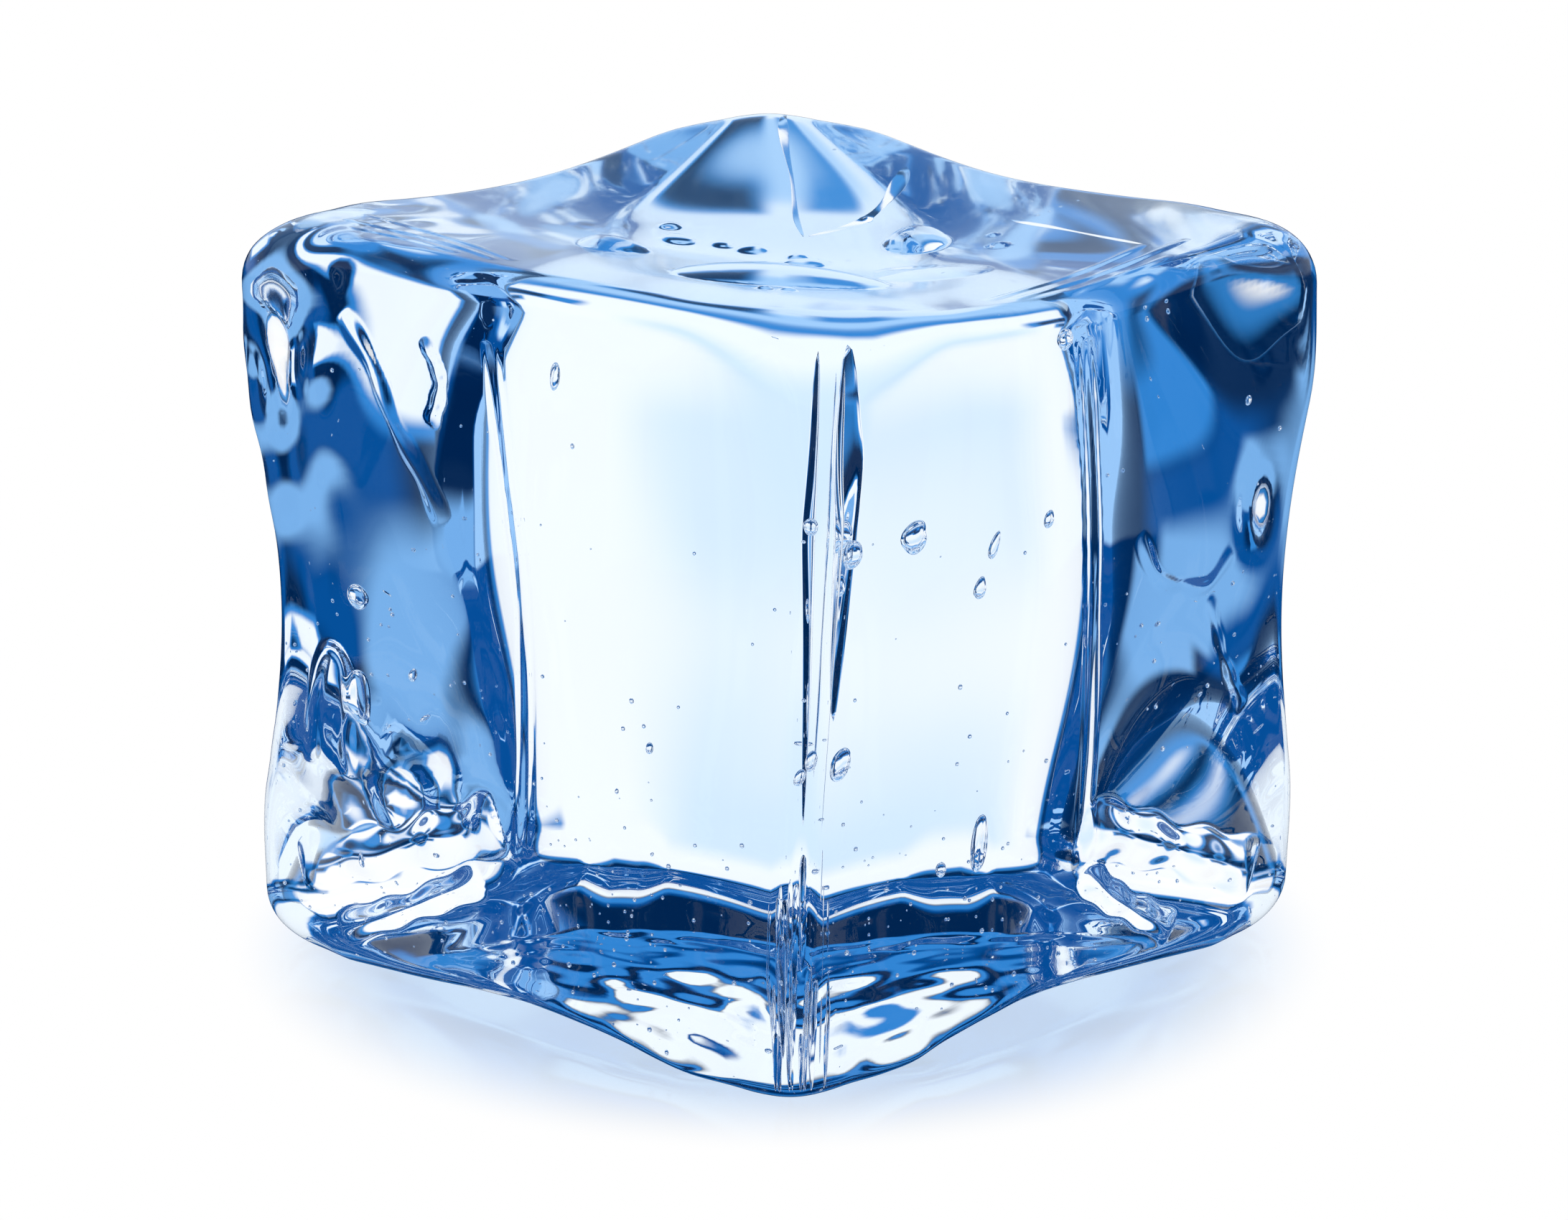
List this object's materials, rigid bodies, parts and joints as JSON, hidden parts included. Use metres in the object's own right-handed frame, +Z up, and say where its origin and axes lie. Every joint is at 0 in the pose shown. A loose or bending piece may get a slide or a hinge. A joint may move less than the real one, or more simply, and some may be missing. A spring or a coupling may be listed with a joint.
{
  "type": "ice cube",
  "caption": "Clear ice cube with rounded, part-melted edges and sides and a few trapped air bubbles, resting flat on its underside.",
  "frame": {"origin": "centre of the bounding box at its bottom, on the surface that the cube rests on", "axes": "+Z up; the -Y and +X sides meet at the near upright edge, and the melted far edge is at -X +Y"},
  "size_m": [0.0358, 0.0362, 0.0349],
  "materials": {
    "ice": "gloss"
  },
  "bodies": {
    "root": {"ice_cube": "ice"}
  },
  "joints": []
}
